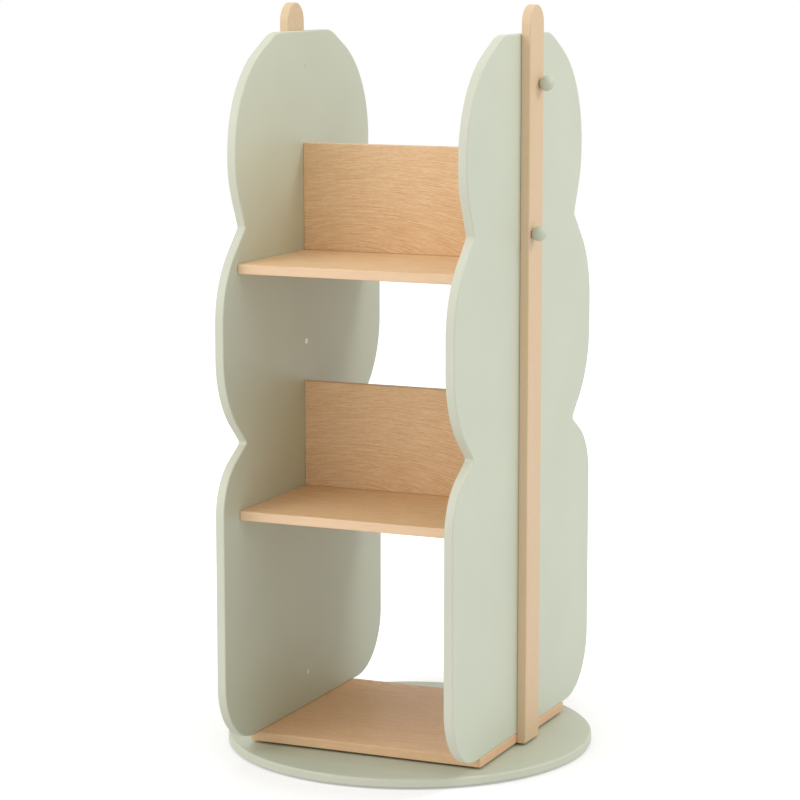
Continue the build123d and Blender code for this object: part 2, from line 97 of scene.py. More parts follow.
# How a piece is sawn from its trunk: its place from the pith in metres, along the grain, beside and over it,
# the width of a year ring in millimetres, and how strongly the rings show
Cut = namedtuple("Cut", "along beside over ring contrast")
FLOOR_CUT = Cut(along=0.0, beside=-0.16, over=0.05, ring=3.0, contrast=0.6)
SHELF_CUT = Cut(along=0.0, beside=-0.02, over=0.05, ring=3.0, contrast=0.8)
RAIL_CUT = Cut(along=0.05, beside=-0.05, over=0.015, ring=2.5, contrast=0.78)
LEFT_POST_CUT = Cut(along=0.0, beside=0.11, over=0.04, ring=3.2, contrast=0.1)
RIGHT_POST_CUT = Cut(along=0.0, beside=0.16, over=0.04, ring=3.2, contrast=0.1)
DOWEL_CUT = Cut(along=0.0, beside=0.02, over=0.03, ring=1.2, contrast=0.5)

# Where each softbox hangs and how wide it is, in metres
SOFTBOXES = {
    "key": ((-1.3, -2.2, 2.2), 1.2),
    "left": ((-2.4, -1.6, 1.8), 1.2),
    "front": ((-0.3, -3.2, 0.7), 2.0),
    "rim": ((2.0, 0.9, 2.4), 0.7),
    "side": ((3.2, -0.6, 1.4), 1.6),
    "top": ((0.0, -0.3, 2.3), 1.8),
}


def linear(code):
    """The linear colour of an sRGB hex value."""
    levels = [int(code[start:start + 2], 16) / 255 for start in (1, 3, 5)]
    return [x / 12.92 if x <= 0.04045 else ((x + 0.055) / 1.055) ** 2.4 for x in levels]


def solid(colour):
    """A colour with full alpha, as a node's socket takes it."""
    return (*colour, 1.0)


def repeats(size):
    """How often a pattern of this size in millimetres repeats in a metre."""
    return 1000.0 / size


# Settings


def colour_setting(name, description, code):
    """A colour that a user may change, with its sRGB default."""
    return FloatVectorProperty(
        name=name, description=description, subtype="COLOR", size=3, min=0.0, max=1.0, default=linear(code)
    )


def length_setting(name, description, size):
    """A length that a user may change, with its default in millimetres."""
    return FloatProperty(name=name, description=description, unit="LENGTH", min=0.0, default=size * MM)


def share_setting(name, description, share):
    """A share from 0 to 1 that a user may change."""
    return FloatProperty(
        name=name, description=description, subtype="FACTOR", min=0.0, max=1.0, default=share
    )


def power_setting(name, description, watts):
    """A lamp's power that a user may change."""
    return FloatProperty(name=name, description=description, unit="POWER", min=0.0, default=watts)


class BookcaseFinish(bpy.types.PropertyGroup):
    """Colours and gloss of the surfaces."""

    paint: colour_setting("Sage paint", "Faces of the panels and the base", "#C7CCB8")
    # The knobs' sage is set a shade darker than the panels': painted shade for the knobs' darker look
    knob: colour_setting("Knob paint", "Ball knobs", "#C1C6B2")
    paint_edge: colour_setting("Paint on edges", "Routed edges, where the film is drier", "#CDCEBB")
    paint_roughness: share_setting("Paint roughness", "Satin sheen of the paint", 0.46)
    board: colour_setting("Shelves", "Early wood of the shelves and rails", "#F5D5AC")
    board_ring: colour_setting("Shelf rings", "Late wood of the shelves and rails", "#DCAF7F")
    floor: colour_setting("Bottom board", "Early wood of the bottom board", "#F8D3A9")
    floor_ring: colour_setting("Bottom board rings", "Late wood of the bottom board", "#DEAC7C")
    shelf_edge: colour_setting("Shelf edges", "Pale band along the edges of the shelves and rails", "#E6C5A2")
    floor_edge: colour_setting("Bottom board edges", "Band along the edges of the bottom board", "#DBB58D")
    post: colour_setting("Beech post", "Early wood of the posts", "#DCC09C")
    post_ring: colour_setting("Beech post rings", "Late wood of the posts", "#CEAC86")
    wood_roughness: share_setting("Wood roughness", "Matt lacquer on the beech", 0.5)
    birch: colour_setting("Birch dowel", "Early wood of the dowels", "#E8D2AC")
    birch_ring: colour_setting("Birch dowel rings", "Late wood of the dowels", "#CDAE80")
    birch_roughness: share_setting("Dowel roughness", "Bare, unsanded birch", 0.7)
    zinc: colour_setting("Zinc plating", "Bolts, studs, bearing rings and their screws", "#C9CBCA")
    screw_zinc: colour_setting("Screw zinc", "Bright zinc plating on the wood screws", "#DCD6C3")
    cast_zinc: colour_setting("Cast zinc", "Cams of the shelf locks", "#A9ABAA")
    ball_steel: colour_setting("Ball steel", "Balls of the turntable", "#DCDEDF")
    nylon: colour_setting("Nylon", "Ball cage of the turntable", "#EDE8DA")
    nylon_flow: colour_setting("Nylon flow marks", "Duller streaks in the ball cage", "#DAD4C2")
    # The pads' colour in their pits is set darker than their skin: painted shade in the hollows
    rubber: colour_setting("Rubber", "Floor pads, in their pits", "#26272A")
    rubber_skin: colour_setting("Rubber skin", "Floor pads, between their pits", "#3A3B3E")


class BookcaseFixings(bpy.types.PropertyGroup):
    """Sizes of the fixings that their boxes in the frame don't give."""

    screw_crest: length_setting("Screw thread", "Diameter of a wood screw over its thread", 3.8)
    screw_core: length_setting("Screw core", "Diameter of a wood screw under its thread", 2.6)
    screw_tip: length_setting("Screw tip", "Length of a screw's tapered point", 2.5)
    ring_screw_crest: length_setting("Ring screw thread", "Diameter of a bearing screw over its thread", 3.2)
    ring_screw_core: length_setting("Ring screw core", "Diameter of a bearing screw under its thread", 2.2)
    ring_screw_head: length_setting("Ring screw head", "Height of a bearing screw's round head", 1.8)
    thread_pitch: length_setting("Thread pitch", "Advance of a thread in one turn", 1.5)
    cross_length: length_setting("Cross length", "Length of each arm pair of a screw's cross", 4.2)
    cross_width: length_setting("Cross width", "Width of an arm of a screw's cross", 1.7)
    cross_depth: length_setting("Cross depth", "Depth of a wood screw's cross", 1.9)
    ring_cross_depth: length_setting("Ring screw cross", "Depth of a bearing screw's cross", 1.4)
    dowel_flutes: IntProperty(
        name="Dowel flutes", description="Grooves around a dowel", min=6, max=24, default=14
    )
    dowel_chamfer: length_setting("Dowel chamfer", "Taper at a dowel's ends", 0.8)
    knob_ease: length_setting("Knob foot", "Rounding round the flat on which a knob stands", 0.3)
    knob_bore: length_setting("Knob bore", "Clearance of the bore in a knob round its stud", 0.1)


class BookcaseStudio(bpy.types.PropertyGroup):
    """Camera and lights."""

    camera_place: FloatVectorProperty(
        name="Camera place", description="Where the camera stands", subtype="TRANSLATION", unit="LENGTH",
        default=(1.4942, -3.4755, 1.0712),
    )
    camera_turn: FloatVectorProperty(
        name="Camera turn", description="How the camera is turned", subtype="EULER", unit="ROTATION",
        default=(math.radians(80.98), 0.0, math.radians(23.47)),
    )
    lens: FloatProperty(
        name="Lens", description="Focal length on a 36 mm sensor", unit="CAMERA", min=1.0, default=127.53
    )
    dome: FloatProperty(name="Dome", description="Even light from all round", min=0.0, default=0.711)
    key: power_setting("Key", "Softbox high in front on the left", 16.8)
    left: power_setting("Left", "Softbox on the left", 10.1)
    front: power_setting("Front", "Low softbox in front", 7.6)
    rim: power_setting("Rim", "Softbox behind on the right", 19.0)
    side: power_setting("Side", "Softbox on the right", 7.1)
    top: power_setting("Top", "Softbox overhead", 5.1)


# Nodes and materials


def feed(tree, node, inputs):
    """Gives each of a node's inputs a value or a link."""
    for name, value in inputs.items():
        if isinstance(value, bpy.types.NodeSocket):
            tree.links.new(value, node.inputs[name])
        else:
            node.inputs[name].default_value = value


def add(tree, kind, inputs, **settings):
    """Adds a node with its settings, and feeds its inputs."""
    node = tree.nodes.new(kind)
    for name, value in settings.items():
        setattr(node, name, value)
    feed(tree, node, inputs)
    return node


def start_material(name):
    """A new material, its tree, its shader and the place on the piece that patterns read."""
    material = bpy.data.materials.new(name)
    material.use_nodes = True
    tree = material.node_tree
    place = add(tree, "ShaderNodeTexCoord", {})
    return material, tree, tree.nodes["Principled BSDF"], place


def edge_band(tree, place, face, flat, share):
    """A share on a board's edges that falls to none on its faces, which lie across a direction."""
    across = add(tree, "ShaderNodeVectorMath", {0: place.outputs["Normal"], 1: face}, operation="DOT_PRODUCT")
    facing = add(tree, "ShaderNodeMath", {0: across.outputs["Value"]}, operation="ABSOLUTE")
    return add(tree, "ShaderNodeMapRange", {
        "Value": facing.outputs[0], "From Min": 0.35, "From Max": flat, "To Min": share, "To Max": 0.0,
    })


def sage_paint(name, tone, finish, face, drying):
    """Satin lacquer sprayed on board: faces lie across a direction, and edges dry paler by a share."""
    # It gives an even pale green with a soft sheen, a faint orange peel, and a drier film on the edges.
    # Sizes in millimetres of the cloudiness, the orange peel and the dust
    drift_size = 170.0
    peel_size = 2.4
    dust_size = 0.7
    edge_roughening = 0.08
    material, tree, shader, place = start_material(name)
    point = place.outputs["Object"]
    drift = add(tree, "ShaderNodeTexNoise", {"Vector": point, "Scale": repeats(drift_size), "Detail": 2.0})
    peel = add(tree, "ShaderNodeTexNoise", {"Vector": point, "Scale": repeats(peel_size), "Detail": 1.0})
    dust = add(tree, "ShaderNodeTexNoise", {"Vector": point, "Scale": repeats(dust_size), "Detail": 3.0})
    edge = edge_band(tree, place, face, flat=0.95, share=drying)
    thin = add(tree, "ShaderNodeMix", {
        0: edge.outputs[0], MIX_A: solid(tone), MIX_B: solid(finish.paint_edge),
    }, data_type="RGBA")
    cloud = add(tree, "ShaderNodeMapRange", {
        "Value": drift.outputs["Fac"], **NOISE_SPAN, "To Min": 0.975, "To Max": 1.02,
    })
    speck = add(tree, "ShaderNodeMapRange", {
        "Value": dust.outputs["Fac"], **NOISE_SPAN, "To Min": 0.985, "To Max": 1.01,
    })
    level = add(tree, "ShaderNodeMath", {0: cloud.outputs[0], 1: speck.outputs[0]}, operation="MULTIPLY")
    colour = add(tree, "ShaderNodeVectorMath", {
        0: thin.outputs[MIX_RESULT], "Scale": level.outputs[0],
    }, operation="SCALE")
    gloss = add(tree, "ShaderNodeMapRange", {
        "Value": dust.outputs["Fac"], **NOISE_SPAN,
        "To Min": finish.paint_roughness - 0.04, "To Max": finish.paint_roughness + 0.06,
    })
    dry = add(tree, "ShaderNodeMath", {
        0: edge.outputs[0], 1: edge_roughening, 2: gloss.outputs[0],
    }, operation="MULTIPLY_ADD")
    skin = add(tree, "ShaderNodeBump", {
        "Height": peel.outputs["Fac"], "Strength": 0.25, "Distance": 0.03 * MM,
    })
    fibre = add(tree, "ShaderNodeMath", {0: edge.outputs[0], 1: dust.outputs["Fac"]}, operation="MULTIPLY")
    fuzz = add(tree, "ShaderNodeBump", {
        "Height": fibre.outputs[0], "Strength": 0.3, "Distance": 0.04 * MM, "Normal": skin.outputs[0],
    })
    feed(tree, shader, {
        "Base Color": colour.outputs[0], "Roughness": dry.outputs[0], "Normal": fuzz.outputs[0],
        "IOR": LACQUER_IOR,
    })
    return material


def streaks(tree, grain, size, detail):
    """A pattern drawn out along the grain, of a size in millimetres along it and to both sides."""
    stretch = add(tree, "ShaderNodeMapping", {"Vector": grain, "Scale": [repeats(length) for length in size]})
    return add(tree, "ShaderNodeTexNoise", {"Vector": stretch.outputs[0], "Scale": 1.0, "Detail": detail})


def planed_wood(name, tones, roughness, face, turn, cut, foot=0.0):
    """Planed wood under matt lacquer, with the grain along the turned X axis and its foot at a height."""
    # It gives pinkish straw with long fine lines that follow soft arches, faint year rings and silky fibre.
    taper = 0.32  # how much slower the rings change along the grain than across it
    sway_reach = 24 * MM
    waver_reach = 1.5 * MM
    blush_share = 0.3
    pore_share = 0.5
    early, late, edge = (solid(tone) for tone in tones)
    material, tree, shader, place = start_material(name)
    log = add(tree, "ShaderNodeMapping", {
        "Vector": place.outputs["Object"],
        "Location": (cut.along, cut.beside, cut.over - foot),
        "Rotation": turn,
    })
    grain = log.outputs[0]
    sway = streaks(tree, grain, size=(330, 120, 120), detail=0.0)
    swayed = add(tree, "ShaderNodeVectorMath", {
        0: sway.outputs["Color"], 1: [sway_reach] * 3, 2: grain,
    }, operation="MULTIPLY_ADD")
    part = add(tree, "ShaderNodeSeparateXYZ", {0: swayed.outputs[0]})
    # The trunk tapers away from the middle of the board, which draws the rings near the pith out into arches
    trunk = add(tree, "ShaderNodeVectorMath", {
        0: swayed.outputs[0], 1: (taper, 1, 1),
    }, operation="MULTIPLY")
    radius = add(tree, "ShaderNodeVectorMath", {0: trunk.outputs[0]}, operation="LENGTH")
    waver = streaks(tree, grain, size=(45, 10, 10), detail=2.0)
    depth = add(tree, "ShaderNodeMath", {
        0: waver.outputs["Fac"], 1: waver_reach, 2: radius.outputs["Value"],
    }, operation="MULTIPLY_ADD")
    count = add(tree, "ShaderNodeMath", {0: depth.outputs[0], 1: cut.ring * MM}, operation="DIVIDE")
    rise = add(tree, "ShaderNodeMath", {0: count.outputs[0], 1: 0.5}, operation="PINGPONG")
    line = add(tree, "ShaderNodeMapRange", {
        "Value": rise.outputs[0], "From Min": 0.2, "From Max": 0.5, "To Min": 0.0, "To Max": cut.contrast,
    }, interpolation_type="SMOOTHSTEP")
    years = add(tree, "ShaderNodeTexNoise", {
        "W": count.outputs[0], "Scale": 1.3, "Detail": 1.0,
    }, noise_dimensions="1D")
    ring = add(tree, "ShaderNodeMath", {0: line.outputs[0], 1: years.outputs["Fac"]}, operation="MULTIPLY")
    # Pores lie along the rings; they are drawn coarser than real ones, which are too fine to show
    side = add(tree, "ShaderNodeMath", {0: part.outputs["Y"], 1: part.outputs["Z"]}, operation="ADD")
    flow = add(tree, "ShaderNodeCombineXYZ", {0: part.outputs["X"], 1: depth.outputs[0], 2: side.outputs[0]})
    pores = streaks(tree, flow.outputs[0], size=(34, 1.2, 60), detail=1.0)
    pore = add(tree, "ShaderNodeMapRange", {
        "Value": pores.outputs["Fac"], "From Min": 0.35, "From Max": 0.65, "To Min": 0.1, "To Max": 1.0,
    })
    fibre = streaks(tree, grain, size=(7, 1.4, 1.4), detail=3.0)
    silk = add(tree, "ShaderNodeMapRange", {
        "Value": fibre.outputs["Fac"], **NOISE_SPAN, "To Min": -0.1, "To Max": 0.32,
    })
    blush = streaks(tree, grain, size=(210, 60, 60), detail=1.0)
    cloud = add(tree, "ShaderNodeMath", {
        0: blush.outputs["Fac"], 1: blush_share, 2: silk.outputs[0],
    }, operation="MULTIPLY_ADD")
    porous = add(tree, "ShaderNodeMath", {
        0: pore.outputs[0], 1: pore_share * cut.contrast, 2: cloud.outputs[0],
    }, operation="MULTIPLY_ADD")
    dark = add(tree, "ShaderNodeMath", {
        0: ring.outputs[0], 1: pore.outputs[0], 2: porous.outputs[0],
    }, operation="MULTIPLY_ADD", use_clamp=True)
    wood = add(tree, "ShaderNodeMix", {0: dark.outputs[0], MIX_A: early, MIX_B: late}, data_type="RGBA")
    band = edge_band(tree, place, face, flat=0.9, share=0.8)
    banded = add(tree, "ShaderNodeMix", {
        0: band.outputs[0], MIX_A: wood.outputs[MIX_RESULT], MIX_B: edge,
    }, data_type="RGBA")
    gloss = add(tree, "ShaderNodeMapRange", {
        "Value": dark.outputs[0], "To Min": roughness - 0.04, "To Max": roughness + 0.1,
    })
    relief = add(tree, "ShaderNodeBump", {
        "Height": dark.outputs[0], "Strength": 0.3, "Distance": 0.05 * MM,
    }, invert=True)
    feed(tree, shader, {
        "Base Color": banded.outputs[MIX_RESULT], "Roughness": gloss.outputs[0], "Normal": relief.outputs[0],
        "IOR": LACQUER_IOR,
    })
    return material


def bare_metal(name, colour, roughness, spangle, patchiness):
    """Plated, cast or polished metal: crystals of a size in millimetres differ in shade by the patchiness."""
    # It gives a grey, slightly patchy mirror with fine handling scratches.
    scratch_size = 0.4  # millimetres
    material, tree, shader, place = start_material(name)
    point = place.outputs["Object"]
    crystal = add(tree, "ShaderNodeTexVoronoi", {"Vector": point, "Scale": repeats(spangle)})
    scratch = add(tree, "ShaderNodeTexNoise", {
        "Vector": point, "Scale": repeats(scratch_size), "Detail": 4.0,
    })
    shade = add(tree, "ShaderNodeMapRange", {
        "Value": crystal.outputs["Color"], "To Min": 1.0 - patchiness, "To Max": 1.0,
    })
    tint = add(tree, "ShaderNodeVectorMath", {0: list(colour), "Scale": shade.outputs[0]}, operation="SCALE")
    gloss = add(tree, "ShaderNodeMapRange", {
        "Value": scratch.outputs["Fac"], **NOISE_SPAN, "To Min": 0.75 * roughness, "To Max": 1.3 * roughness,
    })
    marks = add(tree, "ShaderNodeBump", {
        "Height": scratch.outputs["Fac"], "Strength": 0.15, "Distance": 0.02 * MM,
    })
    feed(tree, shader, {
        "Base Color": tint.outputs[0], "Metallic": 1.0, "Roughness": gloss.outputs[0],
        "Normal": marks.outputs[0],
    })
    return material


def natural_nylon(finish):
    """Injection-moulded nylon, undyed."""
    # It gives a milky off-white with a waxy sheen and faint flow marks.
    flow_size = 14.0  # millimetres
    material, tree, shader, place = start_material("natural_nylon_moulded")
    flow = add(tree, "ShaderNodeTexNoise", {
        "Vector": place.outputs["Object"], "Scale": repeats(flow_size), "Detail": 2.0,
    })
    tint = add(tree, "ShaderNodeMix", {
        0: flow.outputs["Fac"], MIX_A: solid(finish.nylon), MIX_B: solid(finish.nylon_flow),
    }, data_type="RGBA")
    gloss = add(tree, "ShaderNodeMapRange", {"Value": flow.outputs["Fac"], "To Min": 0.32, "To Max": 0.5})
    feed(tree, shader, {
        "Base Color": tint.outputs[MIX_RESULT], "Roughness": gloss.outputs[0], "IOR": NYLON_IOR,
    })
    return material


def foamed_rubber(finish):
    """Closed-cell foamed rubber, die-cut from sheet."""
    # It gives a dull charcoal with tiny pits, painted darker inside as shade, and no clear highlight.
    cell_size = 0.9  # millimetres
    material, tree, shader, place = start_material("foamed_rubber_die_cut")
    cells = add(tree, "ShaderNodeTexVoronoi", {
        "Vector": place.outputs["Object"], "Scale": repeats(cell_size),
    })
    depth = cells.outputs["Distance"]
    # The pits are painted darker than the skin between them: painted shade in the hollows
    tint = add(tree, "ShaderNodeMix", {
        0: depth, MIX_A: solid(finish.rubber), MIX_B: solid(finish.rubber_skin),
    }, data_type="RGBA")
    gloss = add(tree, "ShaderNodeMapRange", {"Value": depth, "To Min": 0.95, "To Max": 0.8})
    pits = add(tree, "ShaderNodeBump", {"Height": depth, "Strength": 0.5, "Distance": 0.15 * MM})
    feed(tree, shader, {
        "Base Color": tint.outputs[MIX_RESULT], "Roughness": gloss.outputs[0], "Normal": pits.outputs[0],
    })
    return material


def seen_directly(tree):
    """Whether the eye meets a surface, straight, mirrored or through glass, and not only its light."""
    path = add(tree, "ShaderNodeLightPath", {})
    mirrored = add(tree, "ShaderNodeMath", {
        0: path.outputs["Is Camera Ray"], 1: path.outputs["Is Glossy Ray"],
    }, operation="MAXIMUM")
    direct = add(tree, "ShaderNodeMath", {
        0: mirrored.outputs[0], 1: path.outputs["Is Transmission Ray"],
    }, operation="MAXIMUM")
    return direct.outputs[0]


def dress(material, *names):
    """Gives a material to nodes of the frame."""
    for name in names:
        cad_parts[name].material_slots[0].material = material


# Modelling


def pick(kind, test):
    """Selects the vertices, edges or faces of the mesh in hand that pass a test, and nothing else."""
    bpy.ops.mesh.select_mode(type=kind)
    bpy.ops.mesh.select_all(action="DESELECT")
    mesh = bpy.context.object.data
    shape = bmesh.from_edit_mesh(mesh)
    for part in {"VERT": shape.verts, "EDGE": shape.edges, "FACE": shape.faces}[kind]:
        if test(part):
            part.select_set(True)
    shape.select_flush_mode()
    bmesh.update_edit_mesh(mesh)


def turned(sides, profile):
    """A closed round piece about Z, drawn up ring by ring through steps of radius and height."""
    bpy.ops.object.select_all(action="DESELECT")
    radius, height = profile[0]
    bpy.ops.mesh.primitive_circle_add(vertices=sides, radius=radius, fill_type="NGON")
    bpy.ops.object.mode_set(mode="EDIT")
    for next_radius, next_height in profile[1:]:
        bpy.ops.mesh.extrude_region_move(TRANSFORM_OT_translate={"value": (0, 0, next_height - height)})
        bpy.ops.transform.resize(value=(next_radius / radius, next_radius / radius, 1))
        radius, height = next_radius, next_height
    bpy.ops.mesh.select_all(action="SELECT")
    bpy.ops.mesh.normals_make_consistent(inside=False)
    bpy.ops.object.mode_set(mode="OBJECT")
    return bpy.context.object


def cut_cross(screw, fixings, depth):
    """Cuts a cross, narrower at its floor, into the face of a screw's head, which lies at the origin."""
    floor_share = 0.7
    arms = ((fixings.cross_length, fixings.cross_width), (fixings.cross_width, fixings.cross_length))
    for arm in arms:
        bpy.ops.object.select_all(action="DESELECT")
        bpy.ops.mesh.primitive_cube_add(size=1)
        cutter = bpy.context.object
        bpy.ops.object.mode_set(mode="EDIT")
        bpy.ops.transform.resize(value=(*arm, 2 * depth))
        for end, share in ((1, floor_share), (-1, 2 - floor_share)):
            pick("FACE", lambda face: face.normal.z * end > FACING)
            bpy.ops.transform.resize(value=(share, share, 1))
        bpy.ops.object.mode_set(mode="OBJECT")
        bpy.context.view_layer.objects.active = screw
        recess = screw.modifiers.new("cross", "BOOLEAN")
        recess.operation = "DIFFERENCE"
        recess.solver = "EXACT"
        recess.object = cutter
        bpy.ops.object.modifier_apply(modifier=recess.name)
        bpy.data.objects.remove(cutter)


def wind_thread(screw, core, crest, pitch, start, end):
    """Winds a sharp thread round a screw's core, as a triangle carried along a helix, and joins it on."""
    showing = 1.4  # radii of the triangle that stand out of the core, of the 1.5 that it is high
    size = (crest - core) / showing
    bpy.ops.object.select_all(action="DESELECT")
    bpy.ops.mesh.primitive_circle_add(
        vertices=3, radius=size, location=(crest - size, 0, start), rotation=(RIGHT_ANGLE, RIGHT_ANGLE, 0)
    )
    bpy.ops.object.transform_apply()
    ridge = bpy.context.object
    helix = ridge.modifiers.new("helix", "SCREW")
    helix.screw_offset = pitch
    helix.iterations = int((end - start) / pitch)
    helix.steps = helix.render_steps = THREAD_STEPS
    bpy.ops.object.modifier_apply(modifier=helix.name)
    bpy.ops.object.mode_set(mode="EDIT")
    bpy.ops.mesh.select_all(action="SELECT")
    bpy.ops.mesh.fill_holes(sides=3)
    bpy.ops.mesh.normals_make_consistent(inside=False)
    bpy.ops.object.mode_set(mode="OBJECT")
    screw.select_set(True)
    bpy.context.view_layer.objects.active = screw
    bpy.ops.object.join()


def solids(name):
    """The low and high corner of each separate solid in a node of the frame, in a fixed order."""
    shape = bmesh.new()
    shape.from_mesh(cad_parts[name].data)
    bmesh.ops.remove_doubles(shape, verts=shape.verts, dist=SEAM)
    waiting = set(shape.verts)
    boxes = []
    while waiting:
        front = [waiting.pop()]
        island = []
        while front:
            corner = front.pop()
            island.append(corner.co.copy())
            near = {edge.other_vert(corner) for edge in corner.link_edges} & waiting
            waiting -= near
            front.extend(near)
        low = Vector([min(values) for values in zip(*island)])
        high = Vector([max(values) for values in zip(*island)])
        boxes.append((low, high))
    shape.free()
    return sorted(boxes, key=lambda box: tuple(box[0]))


def stood_in(box, direction):
    """The matrix that stands a piece made along Z from the origin in a box, along a direction."""
    low, high = box
    reach = abs((high - low).dot(direction)) / 2
    start = (low + high) / 2 - direction * reach
    return Matrix.Translation(start) @ direction.to_track_quat("Z", "Y").to_matrix().to_4x4()


def copy_of(master, place):
    """A copy of a piece with its own mesh, moved to a place and selected."""
    copy = bpy.data.objects.new(master.name, master.data.copy())
    copy.data.transform(place)
    bpy.context.scene.collection.objects.link(copy)
    copy.select_set(True)
    bpy.context.view_layer.objects.active = copy
    return copy


def fill_boxes(master, boxes, direction):
    """One piece made of a master's copies, one in each box; the master goes."""
    bpy.ops.object.select_all(action="DESELECT")
    for box in boxes:
        copy_of(master, stood_in(box, direction))
    bpy.data.objects.remove(master)
    bpy.ops.object.join()
    return bpy.context.object


def settle(piece, node, body, material):
    """Shades a finished piece, gives it its finish, and puts it in the place of a node of the frame."""
    bpy.ops.object.shade_smooth_by_angle(angle=SMOOTH_ANGLE)
    piece.name = "modelled_" + node
    piece.data.name = piece.name
    piece.data.materials.clear()
    piece.data.materials.append(material)
    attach(piece, body)
    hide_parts(node)


# Operators


class BOOKCASE_OT_paint_panels(bpy.types.Operator):
    """Paint the side panels and the base disc"""

    bl_idname = "bookcase.paint_panels"
    bl_label = "Paint Panels and Base"

    def execute(self, context):
        finish = context.scene.bookcase_finish
        panels = sage_paint("sage_lacquer_on_panels", finish.paint, finish, ALONG_X, drying=1.0)
        dress(panels, "left_side_panel", "right_side_panel")
        base = sage_paint("sage_lacquer_on_base", finish.paint, finish, UPWARD, drying=1.0)
        dress(base, "base_disc")
        return {"FINISHED"}


class BOOKCASE_OT_veneer_boards(bpy.types.Operator):
    """Veneer the bottom board, the shelves and the rails, with the grain along their length"""

    bl_idname = "bookcase.veneer_boards"
    bl_label = "Veneer Boards"

    def execute(self, context):
        finish = context.scene.bookcase_finish
        shelf = (finish.board, finish.board_ring, finish.shelf_edge)
        floor = (finish.floor, finish.floor_ring, finish.floor_edge)
        boards = {
            "bottom_board": (floor, UPWARD, FLOOR_CUT),
            "middle_shelf": (shelf, UPWARD, SHELF_CUT),
            "upper_shelf": (shelf, UPWARD, SHELF_CUT),
            "lower_divider": (shelf, BACKWARD, RAIL_CUT),
            "upper_divider": (shelf, BACKWARD, RAIL_CUT),
        }
        for name, (tones, face, cut) in boards.items():
            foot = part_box(name)[0].z
            veneer = planed_wood(
                "beech_veneer_" + name, tones, finish.wood_roughness, face, LYING, cut, foot
            )
            dress(veneer, name)
        return {"FINISHED"}


class BOOKCASE_OT_finish_posts(bpy.types.Operator):
    """Finish the two posts as solid beech, with the grain upright"""

    bl_idname = "bookcase.finish_posts"
    bl_label = "Finish Posts"

    def execute(self, context):
        finish = context.scene.bookcase_finish
        tones = (finish.post, finish.post_ring, finish.post)
        for name, cut in (("left_post", LEFT_POST_CUT), ("right_post", RIGHT_POST_CUT)):
            beech = planed_wood("solid_beech_" + name, tones, finish.wood_roughness, ALONG_X, UPRIGHT, cut)
            dress(beech, name)
        return {"FINISHED"}


class BOOKCASE_OT_turn_knobs(bpy.types.Operator):
    """Turn the ball knobs, bore them for their studs and paint them"""

    bl_idname = "bookcase.turn_knobs"
    bl_label = "Turn Knobs"

    def execute(self, context):
        finish = context.scene.bookcase_finish
        # The knobs take the darker sage, which paints shade onto them
        paint = sage_paint("sage_lacquer_on_knobs", finish.knob, finish, ALONG_X, drying=0.0)
        master = self.turn_ball(context.scene.bookcase_fixings)
        for end, outward in (("left", -ALONG_X), ("right", ALONG_X)):
            for level in ("upper", "lower"):
                node = end + "_" + level + "_knob"
                bpy.ops.object.select_all(action="DESELECT")
                knob = copy_of(master, stood_in(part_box(node), outward))
                settle(knob, node, CASE, paint)
        bpy.data.objects.remove(master)
        return {"FINISHED"}

    def turn_ball(self, fixings):
        """A ball along Z from the origin, where its flat foot is bored for the stud."""
        low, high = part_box("right_upper_knob")
        stud_low, stud_high = max(solids("knob_studs"), key=lambda box: box[1].x)
        radius = (high.z - low.z) / 2
        reach = high.x - low.x - radius
        foot = math.sqrt(radius**2 - reach**2)
        bore = (stud_high.z - stud_low.z) / 2 + fixings.knob_bore
        depth = stud_high.x - low.x + fixings.knob_bore
        bpy.ops.object.select_all(action="DESELECT")
        bpy.ops.mesh.primitive_uv_sphere_add(
            segments=64, ring_count=40, radius=radius, location=(0, 0, reach)
        )
        bpy.ops.object.transform_apply()
        bpy.ops.object.mode_set(mode="EDIT")
        bpy.ops.mesh.select_all(action="SELECT")
        bpy.ops.mesh.bisect(plane_co=(0, 0, 0), plane_no=(0, 0, 1), use_fill=True, clear_inner=True)
        pick("FACE", lambda face: all(abs(corner.co.z) < SEAM for corner in face.verts))
        bpy.ops.mesh.inset(thickness=foot - bore)
        bpy.ops.mesh.extrude_region_move(TRANSFORM_OT_translate={"value": (0, 0, depth)})
        rim = (foot + bore) / 2
        pick("EDGE", lambda edge: all(abs(c.co.z) < SEAM and c.co.xy.length > rim for c in edge.verts))
        bpy.ops.mesh.bevel(offset=fixings.knob_ease, segments=3, affect="EDGES", clamp_overlap=True)
        bpy.ops.mesh.select_all(action="SELECT")
        bpy.ops.mesh.normals_make_consistent(inside=False)
        bpy.ops.object.mode_set(mode="OBJECT")
        return bpy.context.object


class BOOKCASE_OT_drive_screws(bpy.types.Operator):
    """Drive the countersunk screws of the posts, the panels and the rails"""

    bl_idname = "bookcase.drive_screws"
    bl_label = "Drive Wood Screws"

    def execute(self, context):
        finish = context.scene.bookcase_finish
        zinc = bare_metal(
            "zinc_plated_steel_screws", finish.screw_zinc, roughness=0.36, spangle=1.2, patchiness=0.1
        )
        ways = {
            "left_post_screws": -ALONG_X,
            "right_post_screws": ALONG_X,
            "panel_screws": UPWARD,
            "lower_divider_screws": UPWARD,
            "upper_divider_screws": UPWARD,
        }
        for node, way in ways.items():
            boxes = solids(node)
            screw = self.shape_screw(context.scene.bookcase_fixings, boxes[0], way)
            settle(fill_boxes(screw, boxes, way), node, CASE, zinc)
        return {"FINISHED"}

    def shape_screw(self, fixings, box, way):
        """A screw along Z, with the face of its head at the origin and its thread below the countersink."""
        size = box[1] - box[0]
        head = size.y / 2
        length = abs(size.dot(way))
        core = fixings.screw_core / 2
        tip = length - fixings.screw_tip
        rim = 0.1 * MM
        screw = turned(SCREW_SIDES, [
            (head - rim, 0), (head - rim, rim), (core, head - core), (core, tip), (SCREW_POINT, length),
        ])
        cut_cross(screw, fixings, fixings.cross_depth)
        wind_thread(screw, core, fixings.screw_crest / 2, fixings.thread_pitch, head, tip)
        return screw


